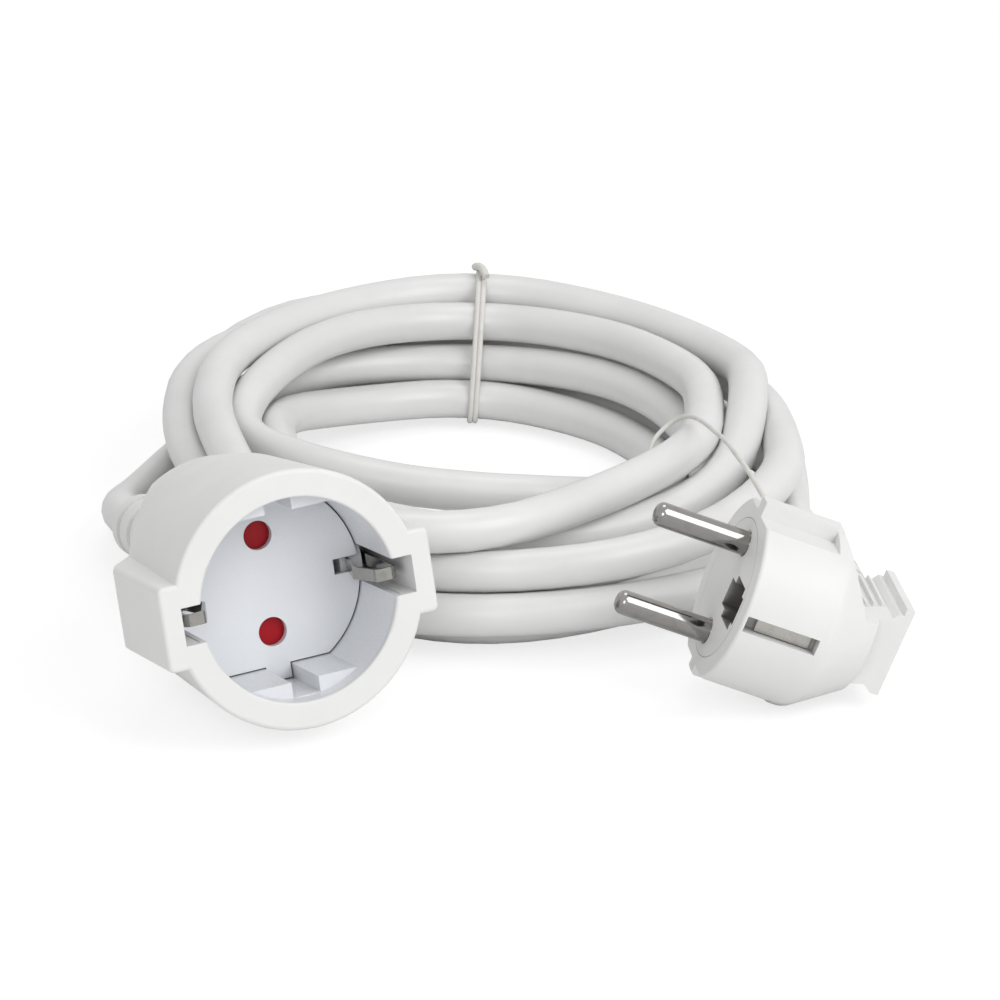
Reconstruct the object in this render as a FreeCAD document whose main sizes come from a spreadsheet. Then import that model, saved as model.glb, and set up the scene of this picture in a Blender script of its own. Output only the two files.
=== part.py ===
"""Extension cord for 16 A sockets: trailing socket (coupler), tied coil of cord and angled plug.

The coupler and the plug are each modelled in a frame of their own, with +Z out of the mouth or
along the pins, +Y up the line of the pins and +X towards the right-hand earth contact. Each is then
laid on the floor at its heading, tilt and roll. The coil lies behind them, and the leads join them.
"""
import FreeCAD, Part
import Sketcher
import math
import os

from FreeCAD import Vector

doc = FreeCAD.newDocument("extension_cord")
sheet = doc.addObject("Spreadsheet::Sheet", "sizes")

SIZES = [
    # how far cuts run past a face, and how far added shapes reach into the one they join
    ("overrun", 1.0), ("rooting", 1.0),
    # where the centres of the coupler's mouth and of the plug's face lie, and the floor's block
    ("mouth_x", -37.3), ("mouth_y", -37.2), ("mouth_z", 28.7),
    ("face_x", 43.2), ("face_y", -16.7), ("face_z", 23.43),
    ("floor_reach", 200.0), ("floor_thickness", 20.0),
    # pins and sockets, after the usual 16 A plug
    ("pin_pitch", 19.0), ("pin_radius", 2.4), ("pin_length", 19.0), ("pin_tip_round", 1.6),
    ("pin_root_radius", 2.65),
    ("earth_contact_half_span", 16.0), ("earth_pin_offset", 9.0),
    # cord
    ("cord_radius", 4.25), ("core_radius", 1.2), ("core_spread", 1.85), ("mould_gap", 0.1),
    ("core_lead_in", 2.0),
    # coupler overmould
    ("mouth_radius", 24.9), ("waist_radius", 23.2), ("waist_depth", 33.0), ("rear_radius", 21.2),
    ("coupler_depth", 45.0),
    ("ear_rise", 2.3), ("ear_half_width", 8.2), ("ear_length", 34.0), ("ear_round", 1.2),
    ("ear_wall", 4.0), ("ear_slot_half_width", 3.65), ("mouth_round", 0.8), ("lip_depth", 1.2),
    ("lip_round", 0.5),
    ("slant_start", 10.9), ("slant_rise", 15.0), ("slant_run", 12.9),
    ("neck_radius", 13.0), ("neck_length", 19.0), ("relief_root_radius", 7.2),
    ("relief_length", 28.0), ("relief_tip_radius", 6.5), ("relief_pitch", 7.0),
    ("relief_slot_width", 2.4), ("relief_slot_radius", 5.2), ("relief_slots", 3),
    ("relief_lip", 2.8), ("sheath_grip", 20.0), ("core_room", 12.0), ("core_room_length", 18.0),
    # coupler insert
    ("seam_gap", 0.2), ("well_wall", 1.0), ("well_radius", 19.5), ("well_depth", 19.0),
    ("plate_thickness", 1.5), ("plate_gap", 0.3), ("shutter_room_radius", 16.0),
    ("pin_hole_radius", 2.85),
    ("guide_flat", 16.3), ("guide_inner", 2.75), ("guide_front", 4.5), ("plate_guide_gap", 0.25),
    ("shutter_room", 3.2), ("well_floor", 2.4), ("tower_half_width", 6.0), ("tower_reach", 14.5),
    ("tower_length", 14.0), ("tower_channel", 2.3), ("clip_slot_start", 14.1),
    # shutter
    ("shutter_thickness", 1.8), ("shutter_gap", 0.2), ("shutter_disc_radius", 3.4),
    ("shutter_arm_half_width", 2.0), ("shutter_hub_radius", 3.4), ("pivot_radius", 1.5),
    ("pivot_clearance", 0.3), ("spring_wire", 0.3), ("spring_bend", 2.4), ("spring_leg", 6.5),
    # coupler contacts
    ("sleeve_wall", 0.9), ("sleeve_clearance", 0.05), ("sleeve_length", 15.0),
    ("sleeve_floor", 0.8), ("crimp_radius", 1.7), ("crimp_length", 4.0), ("crimp_offset", 1.5),
    ("clip_width", 2.4), ("clip_thickness", 0.6), ("clip_top", 4.4), ("clip_touch", 15.2),
    ("clip_touch_depth", 11.0), ("clip_back", 21.2), ("clip_neck", 17.6), ("clip_foot", 17.4),
    ("clip_bend", 1.5),
    ("clip_slot_gap", 0.3), ("earth_crimp_offset", 3.2),
    # plug overmould
    ("plug_radius", 18.3), ("plug_depth", 17.5), ("shoulder_radius", 11.8),
    ("shoulder_depth", 27.5), ("shoulder_round", 3.5), ("face_round", 0.7),
    ("tongue_half_width", 2.0),
    ("tongue_top", 19.0), ("tongue_length", 16.2), ("recess_flat", 16.05), ("recess_depth", 15.3),
    ("groove_half_width", 1.6), ("groove_length", 15.6), ("strip_hole_depth", 3.9),
    ("strip_hole_start", 0.7),
    ("grip_near", 8.0), ("grip_far", 13.0), ("grip_end", 34.0), ("grip_base", 8.5),
    ("grip_base_depth", 24.7), ("grip_waist", 7.0), ("flange_reach", 10.0), ("flange_foot", 8.2),
    ("flange_thickness", 1.7), ("flange_slope", 1.7),
    ("dish_floor", 6.0), ("dish_mouth_depth", 16.2), ("dish_start", 24.6), ("dish_flat_end", 26.5),
    ("dish_rear", 7.3), ("dish_rear_depth", 30.4), ("dish_round", 1.5),
    ("rib_height", 0.7), ("rib_pitch", 1.55), ("rib_width", 0.9), ("rib_start", 26.4),
    ("rib_rooting", 0.5), ("rib_setback", 6.0),
    ("cord_axis_depth", 27.5),
    ("plug_relief_length", 24.0), ("plug_relief_root", 6.4), ("plug_relief_tip", 5.9),
    ("plug_sheath_grip", 14.0),
    # plug insert and contacts
    ("bridge_radius", 14.0), ("bridge_depth", 13.6), ("earth_recess_depth", 5.0),
    ("earth_recess_start", 1.6), ("earth_recess_end", 13.0), ("earth_recess_half", 2.8),
    ("wide_recess_start", 4.4), ("wide_recess_end", 11.6), ("wide_recess_half", 4.4),
    ("pin_collar_radius", 3.3), ("pin_collar_length", 2.6), ("pin_tail_radius", 1.6),
    ("pin_tail_length", 3.4), ("earth_socket_radius", 3.3), ("strip_width", 2.8),
    ("strip_thickness", 0.9), ("strip_front", 3.4), ("strip_crimp_offset", 4.0),
    ("plug_chamber_radius", 13.2), ("plug_chamber_tip", 5.3), ("chamber_past_cord", 1.6),
    ("chamber_shoulder", 11.6), ("chamber_shoulder_depth", 19.0), ("chamber_tip_rise", 3.5),
    ("core_slot_reach", 8.0), ("core_slot_half", 5.0), ("core_slot_rise", 7.5),
    ("core_turn_out", 3.0), ("core_turn_side", 3.2), ("core_turn_rise", 4.5),
    ("earth_turn_out", 5.0), ("earth_turn_rise", 2.5), ("core_straight", 10.0),
    # coil
    ("coil_centre_x", -5.7), ("coil_centre_y", 86.0), ("coil_half_width", 66.7),
    ("coil_half_depth", 79.0), ("turns_per_layer", 1.825), ("layers", 4), ("layer_pitch", 9.65),
    ("rear_pitch", 9.7), ("side_pitch", 14.5), ("front_pitch", 30.0), ("floor_cut", 0.5),
    ("coil_start_turn", 0.1),
    # ties
    ("tie_radius", 0.55), ("tie_position", -5.0), ("string_radius", 0.5), ("tie_clearance", 0.3),
]
for row, (alias, value) in enumerate(SIZES, start=1):
    sheet.set(f"A{row}", alias)
    sheet.set(f"B{row}", str(value))
    sheet.setAlias(f"B{row}", alias)
doc.recompute()


def size(name):
    """A driving value, read from the sheet."""
    return float(getattr(sheet, name))


def bound(text):
    """An expression over the sheet's names, with each name given its sheet."""
    words = []
    word = ""
    for mark in text + " ":
        if mark.isalnum() or mark == "_":
            word += mark
        else:
            named = word and not word[0].isdigit() and word != "sqrt"
            words.append("sizes." + word if named else word)
            words.append(mark)
            word = ""
    return "".join(words).strip()


def reckon(expression):
    """The value of an expression over the sheet's names."""
    return float(sheet.evalExpression(bound(expression)))


def body(name):
    """A new sub-part, named as its node."""
    made = doc.addObject("PartDesign::Body", name)
    made.Label = name
    return made


def sketch(owner, name, role, lift=None):
    """A sketch on one of the body's own planes, lifted along its normal by an expression."""
    made = owner.newObject("Sketcher::SketchObject", name)
    plane = next(item for item in owner.Origin.OriginFeatures if item.Role == role)
    made.AttachmentSupport = [(plane, "")]
    made.MapMode = "FlatFace"
    if lift:
        made.setExpression("AttachmentOffset.Base.z", bound(lift))
    return made


def outline(made, points):
    """A closed outline whose corners are given as pairs of expressions."""
    first = made.GeometryCount
    count = len(points)
    for index in range(count):
        start = Vector(index, (index * index) % 7, 0)
        after = (index + 1) % count
        end = Vector(after, (after * after) % 7, 0)
        made.addGeometry(Part.LineSegment(start, end), False)
    for index in range(count):
        after = first + (index + 1) % count
        made.addConstraint(Sketcher.Constraint("Coincident", first + index, 2, after, 1))
    for index, (across, along) in enumerate(points):
        pin_point(made, first + index, 1, across, along)


def pin_point(made, geometry, end, across, along):
    """Bind one point of a sketch to two expressions."""
    for kind, text in (("DistanceX", across), ("DistanceY", along)):
        number = made.addConstraint(Sketcher.Constraint(kind, -1, 1, geometry, end, 1.0))
        made.setExpression(f"Constraints[{number}]", bound(text))


def circle(made, across, along, radius):
    """A circle bound to its centre and radius expressions."""
    number = made.addGeometry(Part.Circle(Vector(1, 1, 0), Vector(0, 0, 1), 1.0), False)
    pin_point(made, number, 3, across, along)
    constraint = made.addConstraint(Sketcher.Constraint("Radius", number, 1.0))
    made.setExpression(f"Constraints[{constraint}]", bound(radius))


def box_points(left, low, right, high):
    """The four corners of a rectangle, as expressions."""
    return [(left, low), (right, low), (right, high), (left, high)]


def flatted_circle(made, radius, flat):
    """A circle about the origin cut off above and below by level chords."""
    reach = made.evalExpression(bound(radius))
    chord = made.evalExpression(bound(flat))
    across = math.sqrt(reach * reach - chord * chord)
    corner = math.atan2(chord, across)
    right = Part.ArcOfCircle(Part.Circle(Vector(), Vector(0, 0, 1), reach), -corner, corner)
    left = Part.ArcOfCircle(Part.Circle(Vector(), Vector(0, 0, 1), reach), math.pi - corner,
                            math.pi + corner)
    top = Part.LineSegment(Vector(across, chord, 0), Vector(-across, chord, 0))
    low = Part.LineSegment(Vector(-across, -chord, 0), Vector(across, -chord, 0))
    numbers = [made.addGeometry(piece, False) for piece in (right, top, left, low)]
    for index in range(4):
        after = numbers[(index + 1) % 4]
        made.addConstraint(Sketcher.Constraint("Coincident", numbers[index], 2, after, 1))
    for number in (numbers[0], numbers[2]):
        made.addConstraint(Sketcher.Constraint("Coincident", number, 3, -1, 1))
    for number, end, sign in ((numbers[0], 2, ""), (numbers[2], 1, ""), (numbers[2], 2, "-"),
                              (numbers[0], 1, "-")):
        text = sign + "(" + flat + ")"
        level = made.addConstraint(Sketcher.Constraint("DistanceY", -1, 1, number, end, 1.0))
        made.setExpression(f"Constraints[{level}]", bound(text))
    for number in (numbers[0], numbers[2]):
        round_size = made.addConstraint(Sketcher.Constraint("Radius", number, reach))
        made.setExpression(f"Constraints[{round_size}]", bound(radius))


def pad(owner, profile, length, up=False):
    """Material added below the sketch's plane, or above it."""
    made = owner.newObject("PartDesign::Pad", profile.Name + "_pad")
    made.Profile = profile
    made.Reversed = not up
    made.setExpression("Length", bound(length))
    owner.Tip = made
    return made


def pocket(owner, profile, length, up=False):
    """Material cut away below the sketch's plane, or above it."""
    made = owner.newObject("PartDesign::Pocket", profile.Name + "_pocket")
    made.Profile = profile
    made.Reversed = up
    made.setExpression("Length", bound(length))
    owner.Tip = made
    return made


def through(owner, profile):
    """A cut right through, both ways from the sketch's plane."""
    made = owner.newObject("PartDesign::Pocket", profile.Name + "_cut")
    made.Profile = profile
    made.SideType = "Symmetric"
    made.Type = "ThroughAll"
    owner.Tip = made
    return made


def both_ways(owner, profile, length):
    """Material added evenly to both sides of the sketch's plane."""
    made = pad(owner, profile, length)
    made.SideType = "Symmetric"
    return made


def mirrored(owner, feature, role):
    """The same feature again on the other side of one of the body's own planes."""
    made = owner.newObject("PartDesign::Mirrored", feature.Name + "_pair")
    made.Originals = [feature]
    plane = next(item for item in owner.Origin.OriginFeatures if item.Role == role)
    made.MirrorPlane = (plane, [""])
    owner.Tip = made
    return made


def turned(owner, profile, kind="PartDesign::Revolution", axis="V_Axis"):
    """Material added or cut by a full turn about one of the sketch's axes."""
    made = owner.newObject(kind, profile.Name + "_turn")
    made.Profile = profile
    made.ReferenceAxis = (profile, [axis])
    made.Angle = 360
    owner.Tip = made
    return made


def repeated(owner, feature, role, pitch, count):
    """Copies of a feature in a row along one of the body's own axes."""
    made = owner.newObject("PartDesign::LinearPattern", feature.Name + "_row")
    made.Originals = [feature]
    made.Direction = (next(item for item in owner.Origin.OriginFeatures if item.Role == role), [""])
    made.setExpression("Occurrences", bound(count))
    made.setExpression("Length", bound(f"({pitch}) * ({count} - 1)"))
    owner.Tip = made
    return made


def rounded(owner, feature, test, radius):
    """A fillet on the edges of a feature that pass a test of their middle points."""
    doc.recompute()
    names = []
    for number, edge in enumerate(feature.Shape.Edges, start=1):
        if test(edge):
            names.append(f"Edge{number}")
    made = owner.newObject("PartDesign::Fillet", feature.Name + "_round")
    made.Base = (feature, names)
    made.setExpression("Radius", bound(radius))
    owner.Tip = made
    return made


def laid(heading, tilt, roll, origin):
    """The place of a part whose +Z points along a heading and tilt, rolled about that axis."""
    turn = FreeCAD.Rotation(Vector(0, 0, 1), heading)
    lift = FreeCAD.Rotation(Vector(0, 1, 0), -tilt)
    upright = FreeCAD.Rotation(Vector(1, 1, 1), 120)
    twist = FreeCAD.Rotation(Vector(0, 0, 1), roll)
    return FreeCAD.Placement(origin, turn * lift * upright * twist)


# Where the two ends lie on the floor: the centre of the mouth and of the plug's face, with the
# directions of their axes.
COUPLER_PLACE = laid(-66.9, 10.0, 4.7, Vector(size("mouth_x"), size("mouth_y"), size("mouth_z")))
PLUG_PLACE = laid(-173.0, 22.2, -0.7, Vector(size("face_x"), size("face_y"), size("face_z")))

# Coupler overmould: a turned cup with two ears, slanted rear flanks and a grooved strain relief.
COUPLER_END = "coupler_depth + neck_length + relief_length"
PLATE_BACK = "well_depth + plate_thickness"
FLOOR_FRONT = "well_depth + plate_thickness + shutter_room"
FLOOR_BACK = "well_depth + plate_thickness + shutter_room + well_floor"
TOWER_BACK = FLOOR_BACK + " + tower_length"
CUP_RADIUS = "well_radius + well_wall"
BORE = "cord_radius + mould_gap"
EAR_REACH = "(mouth_radius + ear_rise)"
EAR_SLOT_REACH = "(mouth_radius + ear_rise - ear_wall)"

coupler = body("coupler_body")
profile = sketch(coupler, "coupler_profile", "XZ_Plane")
outline(profile, [
    ("0", "0"), ("mouth_radius", "0"), ("waist_radius", "-waist_depth"),
    ("rear_radius", "-coupler_depth"), ("neck_radius", "-coupler_depth"),
    ("relief_root_radius", "-(coupler_depth + neck_length)"),
    ("relief_tip_radius", f"-({COUPLER_END})"), ("0", f"-({COUPLER_END})")])
turned(coupler, profile)

ears = sketch(coupler, "ears", "XY_Plane")
outline(ears, box_points("-" + EAR_REACH, "-ear_half_width", EAR_REACH, "ear_half_width"))
ear_pad = pad(coupler, ears, "ear_length")


def at_ear_corner(edge):
    """An upright edge at a corner of the ears."""
    middle = edge.CenterOfMass
    outside = abs(abs(middle.x) - size("mouth_radius") - size("ear_rise")) < 0.01
    return outside and abs(abs(middle.y) - size("ear_half_width")) < 0.01


ear_rounds = rounded(coupler, ear_pad, at_ear_corner, "ear_round")


def at_mouth_edge(edge):
    """An edge round the outside of the mouth and its ears."""
    return abs(edge.BoundBox.ZMin) < 0.01 and abs(edge.BoundBox.ZMax) < 0.01


rounded(coupler, ear_rounds, at_mouth_edge, "mouth_round")

flanks = sketch(coupler, "flanks", "XZ_Plane")
for side in ("", "-"):
    outline(flanks, [
        (side + "slant_start", "-coupler_depth"),
        (side + "(slant_start + 2 * slant_run)", "-coupler_depth"),
        (side + "(slant_start + 2 * slant_run)", "2 * slant_rise - coupler_depth")])
through(coupler, flanks)

grooves = sketch(coupler, "relief_grooves", "XZ_Plane")
groove_low = f"relief_lip - ({COUPLER_END})"
outline(grooves, box_points("relief_slot_radius", groove_low, "relief_root_radius + overrun",
                            groove_low + " + relief_slot_width"))
groove_cut = turned(coupler, grooves, "PartDesign::Groove")
repeated(coupler, groove_cut, "Z_Axis", "relief_pitch", "relief_slots")

mouth_hole = sketch(coupler, "mouth_hole", "XY_Plane")
circle(mouth_hole, "0", "0", "well_radius")
mouth_cut = pocket(coupler, mouth_hole, "lip_depth + overrun")


def at_lip_edge(edge):
    """The round edge of the mouth's hole."""
    flat = abs(edge.BoundBox.ZMin) < 0.01 and abs(edge.BoundBox.ZMax) < 0.01
    return flat and abs(edge.BoundBox.XMax - size("well_radius")) < 0.05


rounded(coupler, mouth_cut, at_lip_edge, "lip_round")
well = sketch(coupler, "insert_room", "XY_Plane", "-lip_depth")
circle(well, "0", "0", CUP_RADIUS + " + seam_gap")
pocket(coupler, well, f"{FLOOR_BACK} - lip_depth")

tower_room = sketch(coupler, "tower_room", "XY_Plane")
outline(tower_room, box_points(
    "-(tower_half_width + mould_gap)", "-(tower_reach + mould_gap)",
    "tower_half_width + mould_gap", "tower_reach + mould_gap"))
pocket(coupler, tower_room, TOWER_BACK + " + mould_gap")

clip_room = sketch(coupler, "clip_room", "XY_Plane")
outline(clip_room, box_points("-" + EAR_SLOT_REACH, "-ear_slot_half_width", EAR_SLOT_REACH,
                              "ear_slot_half_width"))
pocket(coupler, clip_room, FLOOR_BACK + " + clip_thickness + mould_gap")

cord_room = sketch(coupler, "cord_room", "XZ_Plane")
outline(cord_room, [
    ("0", f"-({TOWER_BACK})"), ("core_room", f"-({TOWER_BACK})"),
    (BORE, f"-({TOWER_BACK} + core_room_length)"), (BORE, f"-({COUPLER_END} + overrun)"),
    ("0", f"-({COUPLER_END} + overrun)")])
turned(coupler, cord_room, "PartDesign::Groove")

# Coupler insert: the well with its guide blocks, a ledge for the face plate and two towers behind
# for the contact sleeves.
cup = body("coupler_cup")
CUP_FRONT = "(lip_depth + mould_gap)"
drum = sketch(cup, "drum", "XY_Plane", "-" + CUP_FRONT)
circle(drum, "0", "0", CUP_RADIUS)
pad(cup, drum, f"{FLOOR_BACK} - {CUP_FRONT}")
front_well = sketch(cup, "front_well", "XY_Plane")
circle(front_well, "0", "0", "well_radius")
pocket(cup, front_well, "guide_front")
guided_well = sketch(cup, "guided_well", "XY_Plane")
flatted_circle(guided_well, "well_radius", "guide_flat")
pocket(cup, guided_well, PLATE_BACK)
guide_channel = sketch(cup, "guide_channel", "XY_Plane")
CHANNEL_REACH = "sqrt(well_radius * well_radius - guide_inner * guide_inner)"
outline(guide_channel, box_points("-guide_inner", f"-({CHANNEL_REACH})", "guide_inner",
                                  CHANNEL_REACH))
pocket(cup, guide_channel, PLATE_BACK)
shutter_well = sketch(cup, "shutter_well", "XY_Plane")
circle(shutter_well, "0", "0", "shutter_room_radius")
pocket(cup, shutter_well, FLOOR_FRONT)
clip_ways = sketch(cup, "clip_ways", "XY_Plane")
outline(clip_ways, box_points(f"-({CUP_RADIUS} + overrun)", "-ear_slot_half_width",
                              f"{CUP_RADIUS} + overrun", "ear_slot_half_width"))
pocket(cup, clip_ways, PLATE_BACK)
towers = sketch(cup, "towers", "XY_Plane", f"-({FLOOR_BACK})")
for side in ("", "-"):
    outline(towers, box_points("-tower_half_width", side + "tower_channel", "tower_half_width",
                               side + "tower_reach"))
pad(cup, towers, "tower_length")
sleeve_ways = sketch(cup, "sleeve_ways", "XY_Plane", f"-({PLATE_BACK})")
for side in ("", "-"):
    circle(sleeve_ways, "0", side + "pin_pitch / 2",
           "pin_radius + sleeve_clearance + sleeve_wall + mould_gap")
pocket(cup, sleeve_ways, "shutter_room + well_floor + tower_length + overrun")
pivot = sketch(cup, "pivot", "XY_Plane", f"-({FLOOR_FRONT})")
circle(pivot, "0", "0", "pivot_radius")
pad(cup, pivot, "shutter_room", up=True)

# Face plate with the pin holes and the slots that the free ends of the earth clips dip into.
plate = body("face_plate")
disc = sketch(plate, "plate_disc", "XY_Plane", "-well_depth")
flatted_circle(disc, "well_radius - plate_gap", "guide_flat - plate_guide_gap")
pad(plate, disc, "plate_thickness")
tongue = sketch(plate, "plate_tongues", "XY_Plane", "-well_depth")
TONGUE_REACH = ("sqrt((well_radius - plate_gap) * (well_radius - plate_gap)"
                " - (guide_inner - plate_guide_gap) * (guide_inner - plate_guide_gap))")
outline(tongue, box_points("-(guide_inner - plate_guide_gap)", f"-({TONGUE_REACH})",
                           "guide_inner - plate_guide_gap", TONGUE_REACH))
pad(plate, tongue, "plate_thickness")
holes = sketch(plate, "pin_holes", "XY_Plane")
for side in ("", "-"):
    circle(holes, "0", side + "pin_pitch / 2", "pin_hole_radius")
pocket(plate, holes, PLATE_BACK + " + overrun")
slots = sketch(plate, "clip_slots", "XY_Plane")
for side in ("", "-"):
    outline(slots, box_points(side + "clip_slot_start", "-(clip_width / 2 + clip_slot_gap)",
                              side + "(well_radius + overrun)", "clip_width / 2 + clip_slot_gap"))
pocket(plate, slots, PLATE_BACK + " + overrun")

# Child shutter: an arm on the pivot with a disc behind each pin hole. It turns aside when both
# pins push on it at once.
SHUTTER_FRONT = PLATE_BACK + " + shutter_gap"
shutter = body("shutter")
arm = sketch(shutter, "shutter_arm", "XY_Plane", f"-({SHUTTER_FRONT})")
outline(arm, box_points("-shutter_arm_half_width", "-pin_pitch / 2", "shutter_arm_half_width",
                        "pin_pitch / 2"))
pad(shutter, arm, "shutter_thickness")
for name, along, radius in (("live_disc", "pin_pitch / 2", "shutter_disc_radius"),
                            ("neutral_disc", "-pin_pitch / 2", "shutter_disc_radius"),
                            ("hub", "0", "shutter_hub_radius")):
    round_part = sketch(shutter, "shutter_" + name, "XY_Plane", f"-({SHUTTER_FRONT})")
    circle(round_part, "0", along, radius)
    pad(shutter, round_part, "shutter_thickness")
hub_hole = sketch(shutter, "hub_hole", "XY_Plane")
circle(hub_hole, "0", "0", "pivot_radius + pivot_clearance")
pocket(shutter, hub_hole, SHUTTER_FRONT + " + shutter_thickness + overrun")

# Contact sleeves behind the pin holes, closed at the back, each with a crimp barrel nearer the axis.
SLEEVE_FRONT = FLOOR_FRONT + " + mould_gap"
SLEEVE_BACK = SLEEVE_FRONT + " + sleeve_length"
SLEEVE_RADIUS = "pin_radius + sleeve_clearance + sleeve_wall"
for name, side in (("live_sleeve", ""), ("neutral_sleeve", "-")):
    sleeve = body(name)
    outer = sketch(sleeve, name + "_wall", "XY_Plane", f"-({SLEEVE_FRONT})")
    circle(outer, "0", side + "pin_pitch / 2", SLEEVE_RADIUS)
    pad(sleeve, outer, "sleeve_length")
    inner = sketch(sleeve, name + "_bore", "XY_Plane", f"-({SLEEVE_FRONT})")
    circle(inner, "0", side + "pin_pitch / 2", "pin_radius + sleeve_clearance")
    pocket(sleeve, inner, "sleeve_length - sleeve_floor")
    barrel = sketch(sleeve, name + "_crimp", "XY_Plane", f"-({SLEEVE_BACK})")
    circle(barrel, "0", side + "(pin_pitch / 2 - crimp_offset)", "crimp_radius")
    pad(sleeve, barrel, "crimp_length")

# Earth clips: one strip that passes under the insert's floor, stands up in both ear slots, turns
# over inwards, bows towards the axis and dips its free ends into the face plate's slots.
clips = body("earth_clips")
bend = sketch(clips, "clip_outline", "XZ_Plane")
HALF = "clip_thickness / 2"
outline(bend, [
    ("0", f"-({FLOOR_BACK})"), (f"clip_back - {HALF}", f"-({FLOOR_BACK})"),
    (f"clip_back - {HALF}", f"-(clip_top + {HALF})"),
    (f"clip_neck + {HALF}", f"-(clip_top + {HALF})"),
    (f"clip_touch + {HALF}", "-clip_touch_depth"),
    (f"clip_foot + {HALF}", f"-({PLATE_BACK})"), (f"clip_foot - {HALF}", f"-({PLATE_BACK})"),
    (f"clip_touch - {HALF}", "-clip_touch_depth"),
    (f"clip_neck - {HALF}", f"{HALF} - clip_top"), (f"clip_back + {HALF}", f"{HALF} - clip_top"),
    (f"clip_back + {HALF}", f"-({FLOOR_BACK} + clip_thickness)"),
    ("0", f"-({FLOOR_BACK} + clip_thickness)")])
half_strip = both_ways(clips, bend, "clip_width")


def at_clip_bend(edge):
    """A cross edge on the outside of the clip's two front bends."""
    middle = edge.CenterOfMass
    across = abs(edge.Length - size("clip_width")) < 0.01
    return across and abs(middle.y) < 0.01 and middle.z > -size("clip_top")


def in_clip_bend(edge):
    """A cross edge on the inside of the same bends."""
    across = abs(edge.Length - size("clip_width")) < 0.01
    return across and abs(edge.CenterOfMass.z + reckon(f"clip_top + {HALF}")) < 0.01


mirrored(clips, half_strip, "YZ_Plane")
outer_bends = rounded(clips, clips.Tip, at_clip_bend, "clip_bend")
rounded(clips, outer_bends, in_clip_bend, "clip_bend - clip_thickness")
earth_barrel = sketch(clips, "earth_crimp", "XY_Plane", f"-({FLOOR_BACK} + clip_thickness)")
circle(earth_barrel, "earth_crimp_offset", "0", "crimp_radius")
pad(clips, earth_barrel, "crimp_length")

# Plug overmould: a round body with guide flats and a tongue between them, a sloping shoulder, and
# a grip with a flange, finger recesses and ribs, from which the strain relief leaves sideways.
RELIEF_END = "grip_far + plug_relief_length"
plug = body("plug_body")
drum = sketch(plug, "plug_profile", "XZ_Plane")
outline(drum, [
    ("0", "0"), ("plug_radius", "0"), ("plug_radius", "-plug_depth"),
    ("shoulder_radius", "-shoulder_depth"), ("0", "-shoulder_depth")])
plug_turn = turned(plug, drum)


def at_shoulder(edge):
    """The round edge where the body meets its shoulder."""
    middle = edge.BoundBox
    flat = abs(middle.ZMin - middle.ZMax) < 0.01
    return flat and abs(middle.ZMin + size("plug_depth")) < 0.01


plug_shoulder = rounded(plug, plug_turn, at_shoulder, "shoulder_round")


def at_face(edge):
    """The round edge of the plug's face."""
    return abs(edge.BoundBox.ZMin) < 0.01 and abs(edge.BoundBox.ZMax) < 0.01


rounded(plug, plug_shoulder, at_face, "face_round")
grip = sketch(plug, "grip_section", "YZ_Plane", "-grip_far")
FLANGE_LOW = "-(grip_end - flange_thickness)"
WAIST = "-(grip_end - flange_thickness - flange_slope)"
outline(grip, [
    ("-grip_base", "-plug_depth"), ("-grip_base", "-grip_base_depth"), ("-grip_waist", WAIST),
    ("-flange_foot", FLANGE_LOW), ("-flange_foot", "-grip_end"), ("flange_reach", "-grip_end"),
    ("flange_reach", FLANGE_LOW), ("grip_base", FLANGE_LOW), ("grip_base", "-plug_depth")])
pad(plug, grip, "grip_far + grip_near", up=True)
dish = sketch(plug, "finger_dish", "YZ_Plane")
outline(dish, [
    ("dish_floor", "-dish_start"), ("dish_floor", "-dish_flat_end"),
    ("dish_rear", "-dish_rear_depth"), ("flange_reach", FLANGE_LOW),
    ("plug_radius + overrun", FLANGE_LOW), ("plug_radius + overrun", "-dish_mouth_depth")])
dish_cut = through(plug, dish)


def in_dish_corner(edge):
    """The long inner edge where the dish's floor meets its front wall."""
    middle = edge.CenterOfMass
    level = abs(middle.y - size("dish_floor")) < 0.01
    return level and abs(middle.z + size("dish_start")) < 0.01


rounded(plug, dish_cut, in_dish_corner, "dish_round")
RIBS = 3
DISH_LEAN = "(dish_rear - dish_floor) / (dish_rear_depth - dish_flat_end)"
LOW_LEAN = "(grip_waist - grip_base) / (-grip_base_depth - (" + WAIST + "))"
for number in range(RIBS):
    depth = f"(rib_start + {number} * rib_pitch)"
    for name, side, face in (
            ("top", "", f"(dish_floor + ({depth} - dish_flat_end) * {DISH_LEAN})"),
            ("low", "-", f"(grip_base + ({depth} - grip_base_depth) * {LOW_LEAN})")):
        rib = sketch(plug, f"rib_{number}_{name}", "YZ_Plane", "-grip_far")
        outline(rib, [
            (f"{side}({face} - rib_rooting)", f"-({depth} - rib_width / 2)"),
            (f"{side}({face} + rib_height)", f"-({depth} - rib_width / 4)"),
            (f"{side}({face} + rib_height)", f"-({depth} + rib_width / 4)"),
            (f"{side}({face} - rib_rooting)", f"-({depth} + rib_width / 2)")])
        pad(plug, rib, "grip_far + grip_near - rib_setback", up=True)


def cord_line(made):
    """A construction line along the axis of the plug's cord, to turn a profile about."""
    number = made.addGeometry(Part.LineSegment(Vector(-1, 0, 0), Vector(-9, 0, 0)), True)
    pin_point(made, number, 1, "0", "-cord_axis_depth")
    pin_point(made, number, 2, f"-({RELIEF_END})", "-cord_axis_depth")


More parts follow.
